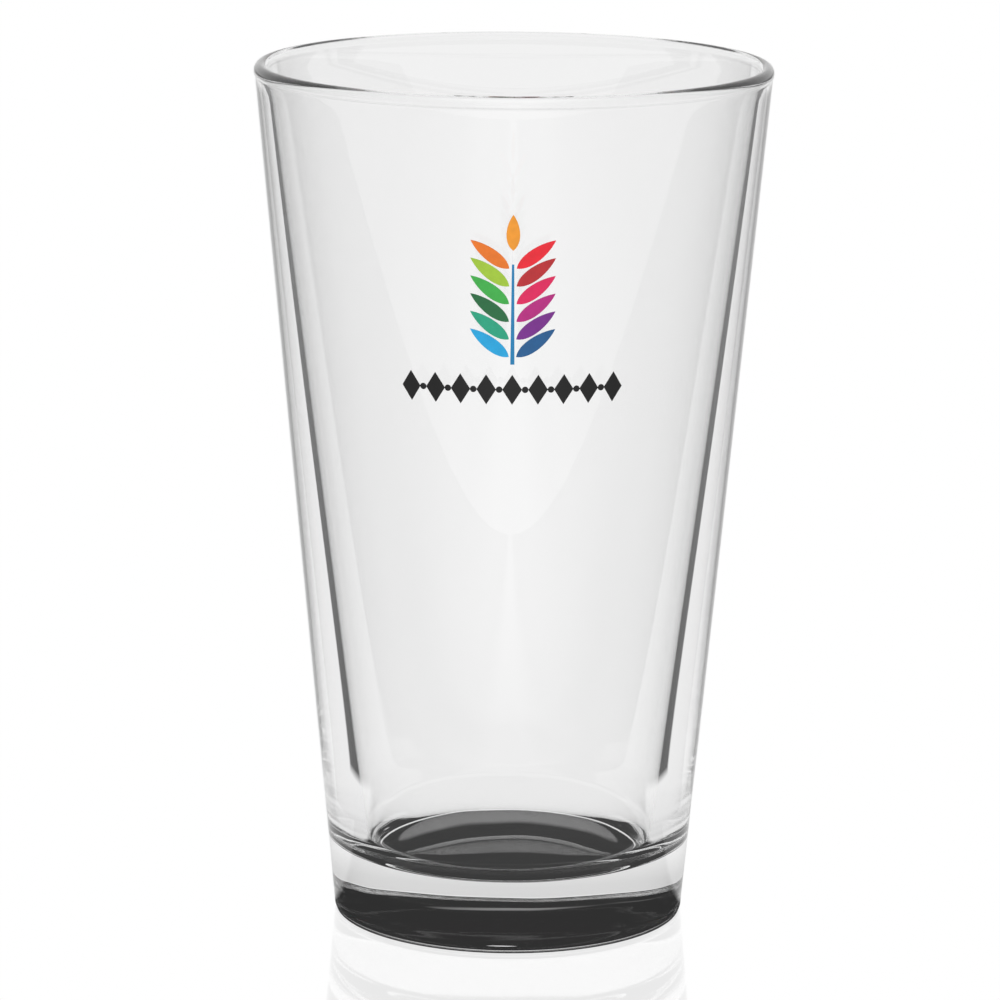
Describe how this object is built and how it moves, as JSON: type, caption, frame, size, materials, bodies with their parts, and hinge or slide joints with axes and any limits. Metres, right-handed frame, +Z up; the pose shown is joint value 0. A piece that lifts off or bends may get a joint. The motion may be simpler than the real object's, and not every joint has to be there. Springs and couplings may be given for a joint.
{
  "type": "pint glass",
  "caption": "Tapered clear pint glass with a heavy base, rounded rim and a small fired enamel ear-of-grain decoration over a row of black lozenges.",
  "frame": {"origin": "centre of the foot ring, on the surface that the glass stands on", "axes": "+Z up along the glass's axis; -Y is the decorated front; +X to the right when looking at the front"},
  "size_m": [0.0888, 0.0888, 0.1492],
  "materials": {
    "clear_glass": "clear soda-lime glass, pressed and fire-polished",
    "amber_enamel": "amber ceramic enamel, screen printed and fired, satin gloss",
    "orange_enamel": "orange ceramic enamel, screen printed and fired, satin gloss",
    "scarlet_enamel": "scarlet ceramic enamel, screen printed and fired, satin gloss",
    "crimson_enamel": "crimson ceramic enamel, screen printed and fired, satin gloss",
    "pink_enamel": "pink ceramic enamel, screen printed and fired, satin gloss",
    "magenta_enamel": "magenta ceramic enamel, screen printed and fired, satin gloss",
    "violet_enamel": "violet ceramic enamel, screen printed and fired, satin gloss",
    "navy_enamel": "navy ceramic enamel, screen printed and fired, satin gloss",
    "blue_enamel": "blue ceramic enamel, screen printed and fired, satin gloss",
    "sky_enamel": "sky ceramic enamel, screen printed and fired, satin gloss",
    "teal_enamel": "teal ceramic enamel, screen printed and fired, satin gloss",
    "forest_enamel": "forest ceramic enamel, screen printed and fired, satin gloss",
    "green_enamel": "green ceramic enamel, screen printed and fired, satin gloss",
    "lime_enamel": "lime ceramic enamel, screen printed and fired, satin gloss",
    "black_enamel": "black ceramic enamel, screen printed and fired, satin gloss"
  },
  "bodies": {
    "root": {"glass_body": "clear_glass", "enamel_amber": "amber_enamel", "enamel_orange": "orange_enamel", "enamel_scarlet": "scarlet_enamel", "enamel_crimson": "crimson_enamel", "enamel_pink": "pink_enamel", "enamel_magenta": "magenta_enamel", "enamel_violet": "violet_enamel", "enamel_navy": "navy_enamel", "enamel_blue": "blue_enamel", "enamel_sky": "sky_enamel", "enamel_teal": "teal_enamel", "enamel_forest": "forest_enamel", "enamel_green": "green_enamel", "enamel_lime": "lime_enamel", "enamel_black": "black_enamel"}
  },
  "joints": []
}
